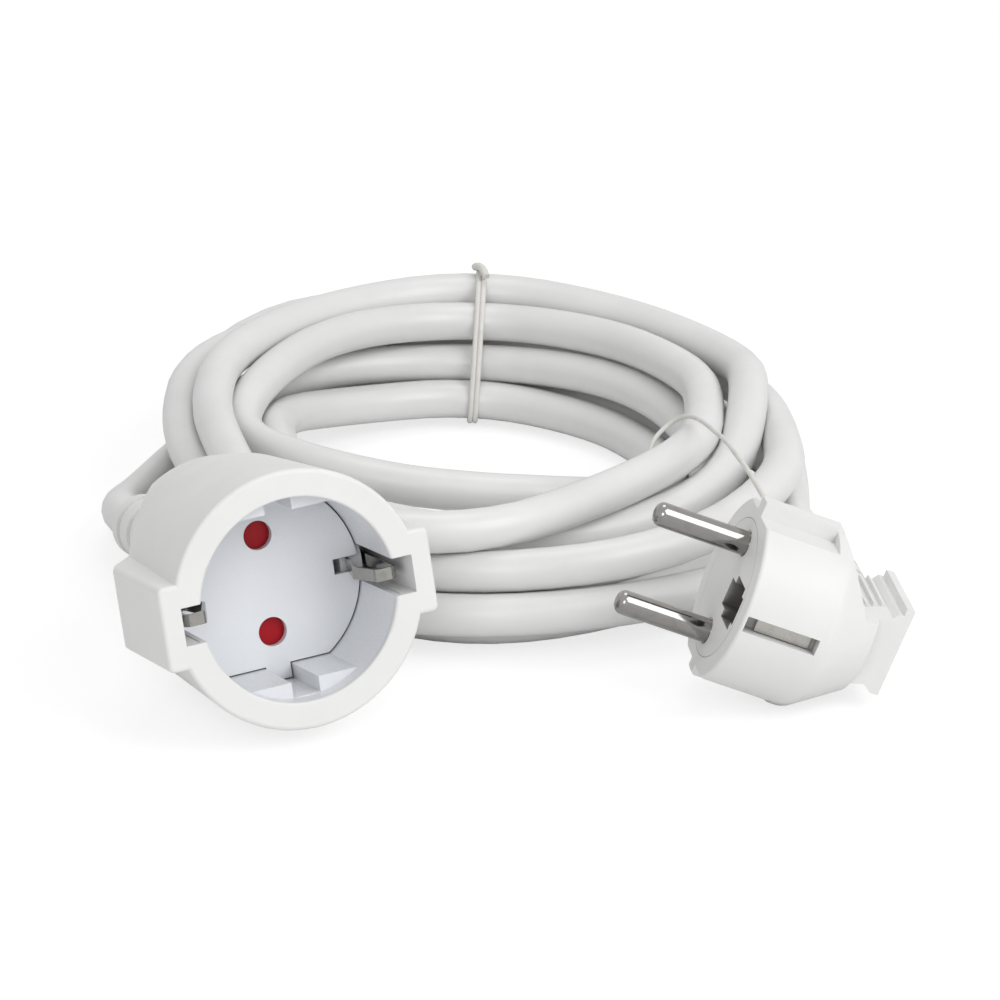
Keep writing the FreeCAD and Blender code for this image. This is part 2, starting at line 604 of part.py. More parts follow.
relief = sketch(plug, "plug_relief", "XZ_Plane")
outline(relief, [
    ("-(grip_far - rooting)", "-cord_axis_depth"),
    ("-(grip_far - rooting)", "plug_relief_root - cord_axis_depth"),
    (f"-({RELIEF_END})", "plug_relief_tip - cord_axis_depth"),
    (f"-({RELIEF_END})", "-cord_axis_depth")])
cord_line(relief)
turned(plug, relief, axis="Axis0")
plug_grooves = sketch(plug, "plug_relief_grooves", "XZ_Plane")
outline(plug_grooves, box_points(
    f"relief_lip - ({RELIEF_END})", "relief_slot_radius - cord_axis_depth",
    f"relief_lip + relief_slot_width - ({RELIEF_END})", "plug_relief_root + overrun - cord_axis_depth"))
cord_line(plug_grooves)
plug_groove = turned(plug, plug_grooves, "PartDesign::Groove", "Axis0")
repeated(plug, plug_groove, "X_Axis", "relief_pitch", "relief_slots")
tongue = sketch(plug, "top_tongue", "XY_Plane")
outline(tongue, box_points("-tongue_half_width", "recess_flat - rooting", "tongue_half_width",
                           "tongue_top"))
pad(plug, tongue, "tongue_length")
flats = sketch(plug, "guide_flats", "XY_Plane")
for side in ("", "-"):
    for end in ("", "-"):
        outline(flats, box_points(side + "tongue_half_width", end + "recess_flat",
                                  side + "plug_radius", end + "(tongue_top + overrun)"))
pocket(plug, flats, "recess_depth")
strip_grooves = sketch(plug, "strip_grooves", "XY_Plane", "-strip_hole_start")
for side in ("", "-"):
    outline(strip_grooves, box_points(
        side + "(earth_contact_half_span - strip_thickness - mould_gap)", "-groove_half_width",
        side + "(plug_radius + overrun)", "groove_half_width"))
pocket(plug, strip_grooves, "groove_length - strip_hole_start")
strip_holes = sketch(plug, "strip_holes", "XY_Plane", "-strip_hole_start")
for side in ("", "-"):
    outline(strip_holes, box_points(
        side + "(plug_radius - strip_hole_depth)", "-groove_half_width",
        side + "(plug_radius + overrun)", "groove_half_width"))
pocket(plug, strip_holes, "strip_front - strip_hole_start")
bridge_room = sketch(plug, "bridge_room", "XY_Plane")
circle(bridge_room, "0", "0", "bridge_radius + mould_gap")
pocket(plug, bridge_room, "bridge_depth + strip_thickness + mould_gap")
strip_way = sketch(plug, "strip_way", "XY_Plane", "-bridge_depth")
outline(strip_way, box_points(
    "-(earth_contact_half_span + mould_gap)", "-groove_half_width",
    "earth_contact_half_span + mould_gap", "groove_half_width"))
pocket(plug, strip_way, "strip_thickness + mould_gap")
chamber = sketch(plug, "core_chamber", "XZ_Plane")
CHAMBER_END = "-(cord_axis_depth + chamber_past_cord)"
outline(chamber, [
    ("0", "-bridge_depth"), ("plug_chamber_radius", "-(bridge_depth + strip_thickness)"),
    ("chamber_shoulder", "-chamber_shoulder_depth"),
    ("plug_chamber_tip", "chamber_tip_rise - cord_axis_depth"),
    ("plug_chamber_tip", CHAMBER_END), ("0", CHAMBER_END)])
turned(plug, chamber, "PartDesign::Groove")
core_slot = sketch(plug, "core_slot", "XY_Plane", "core_slot_rise - cord_axis_depth")
outline(core_slot, box_points("-core_slot_reach", "-core_slot_half", "0", "core_slot_half"))
pocket(plug, core_slot, "core_slot_rise")
cord_way = sketch(plug, "cord_way", "YZ_Plane")
circle(cord_way, "0", "-cord_axis_depth", BORE)
pocket(plug, cord_way, RELIEF_END + " + overrun")

# Plug insert: it holds the pins and the earth socket, flush with the face.
bridge = body("pin_bridge")
block = sketch(bridge, "bridge_disc", "XY_Plane")
circle(block, "0", "0", "bridge_radius")
pad(bridge, block, "bridge_depth")
pin_ways = sketch(bridge, "pin_ways", "XY_Plane")
for side in ("", "-"):
    circle(pin_ways, "0", side + "pin_pitch / 2", "pin_root_radius + sleeve_clearance")
pocket(bridge, pin_ways, "bridge_depth + overrun")
collar_seats = sketch(bridge, "collar_seats", "XY_Plane", "-bridge_depth")
for side in ("", "-"):
    circle(collar_seats, "0", side + "pin_pitch / 2", "pin_collar_radius + mould_gap")
pocket(bridge, collar_seats, "pin_collar_length", up=True)
narrow = sketch(bridge, "earth_recess", "XY_Plane")
outline(narrow, box_points("earth_recess_start", "-earth_recess_half", "earth_recess_end",
                           "earth_recess_half"))
pocket(bridge, narrow, "earth_recess_depth")
wide = sketch(bridge, "earth_recess_middle", "XY_Plane")
outline(wide, box_points("wide_recess_start", "-wide_recess_half", "wide_recess_end",
                         "wide_recess_half"))
pocket(bridge, wide, "earth_recess_depth")
socket_way = sketch(bridge, "socket_way", "XY_Plane")
circle(socket_way, "earth_pin_offset", "0", "earth_socket_radius + mould_gap")
pocket(bridge, socket_way, "bridge_depth + overrun")

# Pins, each with a collar seated in the back of the insert, a thicker root that ends flush with the
# face, and a tail for its core.
PIN_COLLAR_TOP = "pin_collar_length - bridge_depth"
for name, side in (("live_pin", ""), ("neutral_pin", "-")):
    pin = body(name)
    shank = sketch(pin, name + "_shank", "XY_Plane")
    circle(shank, "0", side + "pin_pitch / 2", "pin_radius")
    shank_pad = pad(pin, shank, "pin_length", up=True)

    def at_tip(edge):
        """The round edge at the pin's tip."""
        return abs(edge.BoundBox.ZMin - size("pin_length")) < 0.01

    rounded(pin, shank_pad, at_tip, "pin_tip_round")
    root = sketch(pin, name + "_root", "XY_Plane")
    circle(root, "0", side + "pin_pitch / 2", "pin_root_radius")
    pad(pin, root, "bridge_depth - pin_collar_length")
    collar = sketch(pin, name + "_collar", "XY_Plane", PIN_COLLAR_TOP)
    circle(collar, "0", side + "pin_pitch / 2", "pin_collar_radius")
    pad(pin, collar, "pin_collar_length")
    tail = sketch(pin, name + "_tail", "XY_Plane", "-bridge_depth")
    circle(tail, "0", side + "pin_pitch / 2", "pin_tail_radius")
    pad(pin, tail, "pin_tail_length")

# Plug earth: a strip with its two side contacts, and the socket for an earth pin standing on it.
strips = body("plug_earth_strips")
bow = sketch(strips, "strip_outline", "XZ_Plane")
SPAN = "earth_contact_half_span"
outline(bow, [
    (f"-{SPAN}", "-strip_front"), (f"-{SPAN}", "-(bridge_depth + strip_thickness)"),
    (SPAN, "-(bridge_depth + strip_thickness)"), (SPAN, "-strip_front"),
    (f"{SPAN} - strip_thickness", "-strip_front"), (f"{SPAN} - strip_thickness", "-bridge_depth"),
    (f"strip_thickness - {SPAN}", "-bridge_depth"),
    (f"strip_thickness - {SPAN}", "-strip_front")])
both_ways(strips, bow, "strip_width")
strip_crimp = sketch(strips, "strip_crimp", "XY_Plane", "-(bridge_depth + strip_thickness)")
circle(strip_crimp, "-strip_crimp_offset", "0", "pin_tail_radius")
pad(strips, strip_crimp, "pin_tail_length")
earth_socket = body("earth_socket")
tube = sketch(earth_socket, "socket_tube", "XY_Plane", "-bridge_depth")
circle(tube, "earth_pin_offset", "0", "earth_socket_radius")
pad(earth_socket, tube, "bridge_depth - earth_recess_depth", up=True)
socket_bore = sketch(earth_socket, "socket_bore", "XY_Plane")
circle(socket_bore, "earth_pin_offset", "0", "pin_radius + sleeve_clearance")
pocket(earth_socket, socket_bore, "bridge_depth - sleeve_floor")

COUPLER_BODIES = [coupler, cup, plate, shutter, clips]
COUPLER_BODIES += [doc.getObject(name) for name in ("live_sleeve", "neutral_sleeve")]
PLUG_BODIES = [plug, bridge, strips, earth_socket]
PLUG_BODIES += [doc.getObject(name) for name in ("live_pin", "neutral_pin")]
for item in COUPLER_BODIES:
    item.Placement = COUPLER_PLACE
for item in PLUG_BODIES:
    item.Placement = PLUG_PLACE


def shaped(name, shape, place=None):
    """A sub-part whose form follows a route in space."""
    made = doc.addObject("Part::Feature", name)
    made.Label = name
    made.Shape = shape
    if place:
        made.Placement = place
    return made


def bends(points, name):
    """Straight runs through the points, joined by tangent arcs as large as the runs allow."""
    edges = []
    start = points[0]
    radii = []
    for before, corner, after in zip(points, points[1:], points[2:]):
        arrive = corner - before
        leave = after - corner
        share = 0.45 * min(arrive.Length, leave.Length)
        half_turn = arrive.getAngle(leave) / 2
        radii.append(share / math.tan(half_turn))
        arrive.normalize()
        leave.normalize()
        first = corner - arrive * share
        last = corner + leave * share
        inward = leave - arrive
        inward.normalize()
        bow = radii[-1] * (1 / math.cos(half_turn) - 1)
        edges.append(Part.LineSegment(start, first).toShape())
        edges.append(Part.Arc(first, corner + inward * bow, last).toShape())
        start = last
    edges.append(Part.LineSegment(start, points[-1]).toShape())
    print(name, "bend radii", [round(radius, 1) for radius in radii])
    return Part.Wire(edges)


def tube(wire, radius, name):
    """A round tube along a wire, with its volume compared with section times length."""
    start = wire.Edges[0]
    direction = start.tangentAt(start.FirstParameter)
    ring = Part.Wire([Part.Circle(start.valueAt(start.FirstParameter), direction, radius).toShape()])
    made = wire.makePipeShell([ring], True, False)
    expected = math.pi * radius * radius * wire.Length
    print(name, "length", round(wire.Length, 1), "volume ratio", round(made.Volume / expected, 4))
    return made


# Core ends: from each crimp to the end of the sheath, where they lie side by side.
def core_place(number):
    """Where one of the three cores lies about the cord's axis."""
    angle = math.radians(120 * number)
    return Vector(size("core_spread") * math.cos(angle), size("core_spread") * math.sin(angle), 0)


sleeve_back = reckon(SLEEVE_BACK + " + crimp_length")
crimp_line = reckon("pin_pitch / 2 - crimp_offset")
clip_back = reckon(FLOOR_BACK + " + clip_thickness + crimp_length")
coupler_end = reckon(COUPLER_END)
sheath_start = coupler_end - size("sheath_grip")
gather = reckon(TOWER_BACK + " + core_room_length")
COUPLER_CORES = [
    ("coupler_live_core", Vector(0, crimp_line, -sleeve_back), 1),
    ("coupler_neutral_core", Vector(0, -crimp_line, -sleeve_back), 2),
    ("coupler_earth_core", Vector(size("earth_crimp_offset"), 0, -clip_back), 0)]
for name, crimp, number in COUPLER_CORES:
    end = core_place(number)
    route = [crimp, crimp - Vector(0, 0, size("core_lead_in")), end - Vector(0, 0, gather),
             end - Vector(0, 0, sheath_start)]
    shaped(name, tube(bends(route, name), size("core_radius"), name), COUPLER_PLACE)

pin_tail = reckon("bridge_depth + pin_tail_length")
strip_tail = reckon("bridge_depth + strip_thickness + pin_tail_length")
axis_depth = size("cord_axis_depth")
plug_relief_end = reckon(RELIEF_END)
plug_sheath_start = plug_relief_end - size("plug_sheath_grip")
out, aside = size("core_turn_out"), size("core_turn_side")
deep = axis_depth - size("core_turn_rise")
PLUG_CORES = [
    ("plug_live_core", Vector(0, size("pin_pitch") / 2, -pin_tail), 1,
     Vector(-out, aside, -deep)),
    ("plug_neutral_core", Vector(0, -size("pin_pitch") / 2, -pin_tail), 2,
     Vector(-out, -aside, -deep)),
    ("plug_earth_core", Vector(-size("strip_crimp_offset"), 0, -strip_tail), 0,
     Vector(-size("earth_turn_out"), 0, size("earth_turn_rise") - axis_depth))]
for name, crimp, number, middle in PLUG_CORES:
    spread = core_place(number)
    line = Vector(0, spread.y, -axis_depth - spread.x)
    route = [crimp, crimp - Vector(0, 0, size("core_lead_in")), middle,
             line - Vector(size("core_straight"), 0, 0), line - Vector(plug_sheath_start, 0, 0)]
    shaped(name, tube(bends(route, name), size("core_radius"), name), PLUG_PLACE)

# Torsion spring of the shutter: a hairpin of wire round the pivot, under the shutter's arm.
spring_depth = reckon(SHUTTER_FRONT + " + shutter_thickness + 2 * spring_wire")
bend_radius = size("spring_bend")
leg = size("spring_leg")
low_middle = Vector(0, -bend_radius, -spring_depth)
spring_wire = Part.Wire([
    Part.LineSegment(Vector(bend_radius, leg, -spring_depth),
                     Vector(bend_radius, 0, -spring_depth)).toShape(),
    Part.Arc(Vector(bend_radius, 0, -spring_depth), low_middle,
             Vector(-bend_radius, 0, -spring_depth)).toShape(),
    Part.LineSegment(Vector(-bend_radius, 0, -spring_depth),
                     Vector(-bend_radius, leg, -spring_depth)).toShape()])
shaped("shutter_spring", tube(spring_wire, size("spring_wire"), "shutter_spring"), COUPLER_PLACE)

# Coil: loops laid clockwise from the left. Each layer spirals in or out at a steady rate, and the
# cord climbs to the next layer in the half turn where the spiral reverses.
cord = size("cord_radius")
PIECES_PER_LAYER = 12
CLIMB_TURNS = 0.5
RISE_BAND = 0.3
lift = size("floor_cut") + 2 * size("tie_radius") + size("tie_clearance")
whole_run = size("layers") * size("turns_per_layer")


def smooth(value):
    """A gentle step from 0 to 1."""
    value = min(max(value, 0.0), 1.0)
    return value * value * (3 - 2 * value)


def coil_point(run):
    """A point of the coil's centre line, by turns run from its start."""
    angle = math.pi - 2 * math.pi * (run + size("coil_start_turn"))
    layer = run / size("turns_per_layer")
    whole = math.floor(layer)
    inward = layer - whole if whole % 2 == 0 else whole + 1 - layer
    front = -math.sin(angle)
    slope = (size("front_pitch") - size("rear_pitch")) / 2
    bow = (size("front_pitch") + size("rear_pitch")) / 2 - size("side_pitch")
    pitch = size("side_pitch") + slope * front + bow * front * front
    drawn = inward * size("turns_per_layer") * pitch
    nearest = round(layer)
    climb = (run - nearest * size("turns_per_layer")) / CLIMB_TURNS + 0.5
    if 0 < nearest < size("layers"):
        level = nearest - 1 + smooth(climb)
    else:
        level = 0 if nearest == 0 else size("layers") - 1
    height = cord - size("floor_cut") + level * size("layer_pitch")
    height += lift * smooth((math.sin(angle) + RISE_BAND) / (2 * RISE_BAND))
    return Vector(size("coil_centre_x") + (size("coil_half_width") - drawn) * math.cos(angle),
                  size("coil_centre_y") + (size("coil_half_depth") - drawn) * math.sin(angle),
                  height)


def coil_direction(run):
    """The direction of travel there."""
    small = 0.0005
    run = min(max(run, small), whole_run - small)
    ahead = coil_point(run + small) - coil_point(run - small)
    ahead.normalize()
    return ahead


def bent(first, control, last):
    """An arc from first to last whose end tangents meet at control."""
    opening = (first - control).getAngle(last - control) / 2
    weight = math.sin(opening)
    middle = (first + last) * (0.5 / (1 + weight)) + control * (weight / (1 + weight))
    return Part.Arc(first, middle, last).toShape()


def biarc(start, leave, end, arrive):
    """Two arcs that join two points with the given directions."""
    chord = end - start
    both = leave + arrive
    turn = 2 * (1 - leave.dot(arrive))
    reach = (math.sqrt(chord.dot(both) ** 2 + turn * chord.dot(chord)) - chord.dot(both)) / turn
    first = start + leave * reach
    second = end - arrive * reach
    middle = (first + second) * 0.5
    return [bent(start, first, middle), bent(middle, second, end)]


steps = int(size("layers")) * PIECES_PER_LAYER
knots = [coil_point(whole_run * step / steps) for step in range(steps + 1)]
headings = [coil_direction(whole_run * step / steps) for step in range(steps + 1)]
straight = 2 * cord
coil_edges = [Part.LineSegment(knots[0] - headings[0] * straight, knots[0]).toShape()]
for step in range(steps):
    coil_edges += biarc(knots[step], headings[step], knots[step + 1], headings[step + 1])
coil_edges.append(Part.LineSegment(knots[-1], knots[-1] + headings[-1] * straight).toShape())
coil_wire = Part.Wire(coil_edges)
floor_reach, floor_thickness = size("floor_reach"), size("floor_thickness")
under_floor = Part.makeBox(2 * floor_reach, 2 * floor_reach, floor_thickness,
                           Vector(-floor_reach, -floor_reach, -floor_thickness))
coil_solid = tube(coil_wire, cord, "cord_coil").cut(under_floor)


def least_gap(wire, radius):
    """The least gap between the loops' surfaces, on points half a diameter apart along the wire."""
    marks = wire.discretize(Distance=radius)
    near = 8
    least = min((here - there).Length for index, here in enumerate(marks)
                for there in marks[index + near:])
    return least - 2 * radius


print("cord_coil least gap to itself", round(least_gap(coil_wire, cord), 2))
shaped("cord_coil", coil_solid)
coil_first = knots[0] - headings[0] * straight
coil_last = knots[-1] + headings[-1] * straight


def on_part(place, across, along, out):
    """A point given in a laid part's own frame."""
    return place.multVec(Vector(across, along, out))


# Leads: their points are chosen along the route that the cord takes over the floor.
coupler_route = [
    on_part(COUPLER_PLACE, 0, 0, -sheath_start), on_part(COUPLER_PLACE, 0, 0, -coupler_end - 10),
    Vector(-80.5, 84.0, 5.4), coil_first - headings[0] * 22, coil_first]
plug_route = [
    on_part(PLUG_PLACE, -plug_sheath_start, 0, -axis_depth),
    on_part(PLUG_PLACE, -plug_relief_end - 8.5, 0, -axis_depth),
    Vector(66.5, 55.0, 19.5), Vector(65.0, 81.0, 27.0), coil_last + headings[-1] * 18,
    coil_last]
for name, route in (("coupler_lead", coupler_route), ("plug_lead", plug_route)):
    lead = tube(bends(route, name), cord, name)
    shaped(name, lead.cut(under_floor))

# Tie round the coil's rear: a closed loop of covered wire, drawn close round the loops there.
marks = coil_wire.discretize(Distance=1.0)
held = [mark for mark in marks if abs(mark.x - size("tie_position")) < 2 and mark.y > knots[0].y]
reach = cord + size("tie_clearance") + size("tie_radius")
tie_front = min(mark.y for mark in held)
tie_back = max(mark.y for mark in held)
tie_low = reach + size("tie_radius")
tie_high = max(mark.z for mark in held)


def tie_point(along, height):
    """A point in the tie's plane."""
    return Vector(size("tie_position"), along, height)


def tie_corner(along, height, out_along, out_up):
    """A quarter turn of the tie round the loop at one corner of the bundle."""
    slant = reach * math.sqrt(0.5)
    centre = tie_point(along, height)
    ends = [Vector(0, out_along * reach, 0), Vector(0, 0, out_up * reach)]
    if out_along * out_up > 0:
        ends.reverse()
    middle = Vector(0, out_along * slant, out_up * slant)
    return Part.Arc(centre + ends[0], centre + middle, centre + ends[1]).toShape()


corners = [tie_corner(tie_back, tie_high, 1, 1), tie_corner(tie_back, tie_low, 1, -1),
           tie_corner(tie_front, tie_low, -1, -1), tie_corner(tie_front, tie_high, -1, 1)]
tie_edges = []
for corner, following in zip(corners, corners[1:] + corners[:1]):
    end = corner.valueAt(corner.LastParameter)
    tie_edges += [corner, Part.LineSegment(end, following.valueAt(following.FirstParameter)).toShape()]
tie_wire = Part.Wire(tie_edges)
shaped("coil_tie", tube(tie_wire, size("tie_radius"), "coil_tie"))

# String from the coil's front right, over its loops and down to the top of the plug.
string_route = [
    Vector(31.0, 62.5, 21.5), Vector(31.6, 59.5, 31.7), Vector(35.0, 56.0, 39.6),
    Vector(40.0, 49.0, 42.0), Vector(44.0, 35.0, 41.6), Vector(47.0, 16.0, 41.0),
    Vector(49.5, -1.0, 41.5), Vector(50.2, -9.5, 42.8)]
shaped("plug_tie", tube(bends(string_route, "plug_tie"), size("string_radius"), "plug_tie"))

# Every object has to be sound before anything is written.
doc.recompute()
for item in doc.Objects:
    if "Invalid" in item.State or "Error" in item.State:
        raise RuntimeError(f"{item.Name} failed")
pieces = [item for item in doc.Objects if item.TypeId in ("PartDesign::Body", "Part::Feature")]
for item in pieces:
    if item.Shape.isNull() or not item.Shape.isValid() or len(item.Shape.Solids) != 1:
        raise RuntimeError(f"{item.Label} has no sound solid")
os.makedirs("parts", exist_ok=True)
for item in pieces:
    item.Shape.exportStep(f"parts/{item.Label}.step")
    print(item.Label, round(item.Shape.Volume, 1))
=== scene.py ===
"""Extension cord: a trailing socket, an angled plug and the tied coil of cord between them."""

import math

import bmesh
import bpy
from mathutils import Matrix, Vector


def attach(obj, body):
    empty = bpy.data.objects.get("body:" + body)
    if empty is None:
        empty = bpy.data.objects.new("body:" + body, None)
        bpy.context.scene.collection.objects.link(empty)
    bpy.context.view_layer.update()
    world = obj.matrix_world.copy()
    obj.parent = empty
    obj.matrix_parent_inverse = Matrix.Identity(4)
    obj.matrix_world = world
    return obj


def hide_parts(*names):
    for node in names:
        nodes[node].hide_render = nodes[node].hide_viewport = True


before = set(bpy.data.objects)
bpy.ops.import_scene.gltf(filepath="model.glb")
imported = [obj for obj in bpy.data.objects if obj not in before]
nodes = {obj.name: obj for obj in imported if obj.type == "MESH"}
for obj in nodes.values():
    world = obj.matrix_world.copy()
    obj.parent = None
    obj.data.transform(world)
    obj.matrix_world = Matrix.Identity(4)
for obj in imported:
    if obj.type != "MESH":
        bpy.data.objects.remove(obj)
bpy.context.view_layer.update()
MAIN = "cord_set"

# Camera: the photograph looks down on the set by 20 degrees through a long lens.
camera = bpy.data.objects.new("camera", bpy.data.cameras.new("camera"))
camera.data.sensor_width = 36.0
camera.data.lens = 174.6
camera.location = (0.0, -0.881, 0.3557)
camera.rotation_euler = (math.radians(70.0), 0.0, 0.0)
bpy.context.scene.collection.objects.link(camera)
bpy.context.scene.camera = camera
bpy.context.scene.view_settings.view_transform = "Standard"

# Cord: a round white PVC sheath, extruded over three twisted cores, 8.5 mm thick and about 3 m
# long. It leaves the coupler at the left, is wound by hand, clockwise, into an oval coil of seven
# and a half loops, and ends in the angled plug.
CORD_RADIUS = 0.00425
CURVE_STEPS = 6
COIL_MIDDLE = (-5.7, 86.0)
COUPLER_LEAD = [(-65.1, 28.0, 16.2), (-68.2, 35.3, 14.8), (-72.8, 46.1, 12.7),
                (-76.9, 56.0, 10.8), (-79.4, 69.0, 8.3)]
FIRST_ANGLE, ANGLE_STEP = 180, 30   # degrees: from the left, by way of the rear
# A row is one loop, and a pair is one point of it: (reach from the coil's middle, height) in mm.
# These numbers weren't chosen by hand: a separate script fitted them to places read off the
# photograph, and a second one moved passes apart where they overlapped.
LOOPS = [
    [(71.6, 4.3), (70.6, 4.4), (87.4, 4.3), (69.9, 5.9), (67.9, 5.0), (55.4, 4.3),
     (59.0, 5.0), (65.5, 7.1), (75.6, 6.4), (77.4, 4.3), (66.2, 4.9), (50.5, 4.7)],
    [(40.9, 4.3), (58.1, 4.4), (86.6, 15.4), (82.5, 5.9), (78.5, 4.3), (77.6, 4.5),
     (67.6, 4.3), (74.5, 4.3), (84.6, 9.8), (84.6, 9.2), (75.6, 7.3), (60.6, 5.0)],
    [(50.8, 4.3), (62.1, 17.0), (66.3, 14.3), (68.0, 12.4), (58.0, 15.2), (52.4, 13.9),
     (50.8, 9.9), (55.9, 5.5), (66.9, 9.8), (73.0, 12.5), (58.6, 9.8), (41.2, 9.8)],
    [(40.7, 14.3), (50.6, 13.9), (57.7, 7.7), (63.2, 5.9), (54.8, 5.2), (47.8, 4.3),
     (43.0, 6.3), (35.9, 10.6), (29.5, 13.9), (26.1, 14.9), (32.6, 17.5), (42.1, 19.9)],
    [(50.7, 18.8), (54.0, 21.6), (60.6, 24.9), (71.2, 21.4), (61.1, 23.1), (55.2, 22.7),
     (49.3, 24.9), (53.8, 25.1), (57.6, 23.7), (80.1, 24.5), (81.9, 26.3), (58.9, 26.6)],
    [(55.7, 25.8), (62.1, 26.4), (69.3, 26.8), (79.6, 26.4), (72.2, 24.6), (67.2, 23.4),
     (58.7, 28.6), (61.6, 18.3), (57.4, 14.6), (60.6, 17.1), (57.7, 19.7), (54.4, 14.3)],
    [(58.2, 11.8), (76.1, 13.8), (86.8, 22.6), (81.4, 19.0), (83.5, 14.8), (70.7, 15.8),
     (64.0, 20.8), (75.0, 22.0), (82.5, 18.7), (79.3, 16.2), (71.0, 14.8), (62.8, 18.4)],
    [(62.4, 19.9), (70.7, 23.1), (76.5, 21.7), (76.3, 11.1), (73.0, 13.7), (63.9, 7.3),
     (65.0, 12.4)]
]
PLUG_LEAD = [(58.6, 56.0, 12.9), (60.6, 42.0, 13.6), (62.9, 31.5, 13.5), (64.1, 23.1, 13.5),
             (65.8, 9.2, 13.3)]


def laid_curve(name, points_mm, radius):
    """A round cord on one smooth line through control points."""
    curve = bpy.data.curves.new(name, "CURVE")
    curve.dimensions = "3D"
    curve.bevel_depth = radius
    curve.bevel_resolution = CURVE_STEPS
    curve.use_fill_caps = True
    line = curve.splines.new("NURBS")
    line.points.add(len(points_mm) - 1)
    for place, point in zip(line.points, points_mm):
        place.co = (*(Vector(point) / 1000), 1.0)
    line.order_u = 3
    line.use_endpoint_u = True
    line.resolution_u = CURVE_STEPS
    made = bpy.data.objects.new(name, curve)
    bpy.context.scene.collection.objects.link(made)
    return made


route = list(COUPLER_LEAD)
for loop in LOOPS:
    for step, (reach, height) in enumerate(loop):
        angle = math.radians(FIRST_ANGLE - ANGLE_STEP * step)
        route.append((COIL_MIDDLE[0] + reach * math.cos(angle),
                      COIL_MIDDLE[1] + reach * math.sin(angle), height))
route += PLUG_LEAD
cord = laid_curve("cord", route, CORD_RADIUS)


def put(tree, kind, wires=(), **values):
    """Adds a shader node, sets its options and plain inputs, and wires up its other inputs."""
    node = tree.nodes.new("ShaderNode" + kind)
    for key, value in values.items():
        if hasattr(node, key):
            setattr(node, key, value)
        else:
            node.inputs[key.replace("_", " ")].default_value = value
    for socket, source in dict(wires).items():
        tree.links.new(source, node.inputs[socket])
    return node


def new_effect(name, takes, gives):
    """An empty node group with named inputs and outputs, and the two ends inside it."""
    effect = bpy.data.node_groups.new(name, "ShaderNodeTree")
    for label, kind, value in takes:
        effect.interface.new_socket(label, in_out="INPUT",
                                    socket_type="NodeSocket" + kind).default_value = value
    for label, kind in gives:
        effect.interface.new_socket(label, in_out="OUTPUT", socket_type="NodeSocket" + kind)
    start, end = effect.nodes.new("NodeGroupInput"), effect.nodes.new("NodeGroupOutput")
    return effect, start.outputs, end.inputs


def new_material(name, **finish):
    """A material whose Principled shader has this finish's plain values."""
    made = bpy.data.materials.new(name)
    made.use_nodes = True
    shader = made.node_tree.nodes["Principled BSDF"]
    for key, value in finish.items():
        shader.inputs[key.replace("_", " ")].default_value = value
    return made, made.node_tree, shader


def join(tree, source, target):
    """Wires one socket to another."""
    tree.links.new(source, target)


# Moulded or extruded plastic: slow clouds of tone from the mix, and the fine grain of the die.
MIX_FIRST, MIX_SECOND, MIX_COLOUR = 6, 7, 2   # a colour Mix node's two inputs and its output
moulded, given, made = new_effect("moulded_plastic", [
    ("Clear tone", "Color", (0.8, 0.8, 0.8, 1)), ("Dull tone", "Color", (0.7, 0.7, 0.7, 1)),
    ("Cloud scale", "Float", 60.0), ("Grain scale", "Float", 2500.0),
    ("Smoothest", "Float", 0.35), ("Roughest", "Float", 0.5)],
    [("Color", "Color"), ("Roughness", "Float"), ("Height", "Float")])
spot = put(moulded, "TexCoord").outputs["Object"]
cloud = put(moulded, "TexNoise", {"Vector": spot, "Scale": given["Cloud scale"]}, Detail=3.0)
cloud_mask = put(moulded, "MapRange", {"Value": cloud.outputs["Fac"]}, From_Min=0.35, From_Max=0.68)
tone = put(moulded, "Mix", {"Factor": cloud_mask.outputs["Result"]}, data_type="RGBA")
join(moulded, given["Clear tone"], tone.inputs[MIX_FIRST])
join(moulded, given["Dull tone"], tone.inputs[MIX_SECOND])
grain = put(moulded, "TexNoise", {"Vector": spot, "Scale": given["Grain scale"]}, Detail=2.0)
rough = put(moulded, "MapRange", {"Value": grain.outputs["Fac"], "To Min": given["Smoothest"],
                                  "To Max": given["Roughest"]}, From_Min=0.3, From_Max=0.7)
join(moulded, tone.outputs[MIX_COLOUR], made["Color"])
join(moulded, rough.outputs["Result"], made["Roughness"])
join(moulded, grain.outputs["Fac"], made["Height"])

# Handling dust: a thin veil on what faces up, broken into patches.
dust, given, made = new_effect("settled_dust", [
    ("Color", "Color", (0.8, 0.8, 0.8, 1)), ("Dust tone", "Color", (0.6, 0.58, 0.55, 1)),
    ("Cover", "Float", 0.1), ("Patch scale", "Float", 150.0)],
    [("Color", "Color"), ("Mask", "Float")])
spot = put(dust, "TexCoord").outputs["Object"]
facing = put(dust, "SeparateXYZ", {"Vector": put(dust, "NewGeometry").outputs["Normal"]})
upward = put(dust, "MapRange", {"Value": facing.outputs["Z"]}, From_Min=0.2, From_Max=1.0)
patches = put(dust, "TexNoise", {"Vector": spot, "Scale": given["Patch scale"]}, Detail=5.0)
broken = put(dust, "MapRange", {"Value": patches.outputs["Fac"]}, From_Min=0.45, From_Max=0.75)
shown = put(dust, "Math", {0: upward.outputs["Result"], 1: broken.outputs["Result"]},
            operation="MULTIPLY")
cover = put(dust, "Math", {0: shown.outputs[0], 1: given["Cover"]}, operation="MULTIPLY")
veil = put(dust, "Mix", {"Factor": cover.outputs[0]}, data_type="RGBA")
join(dust, given["Color"], veil.inputs[MIX_FIRST])
join(dust, given["Dust tone"], veil.inputs[MIX_SECOND])
join(dust, veil.outputs[MIX_COLOUR], made["Color"])
join(dust, cover.outputs[0], made["Mask"])

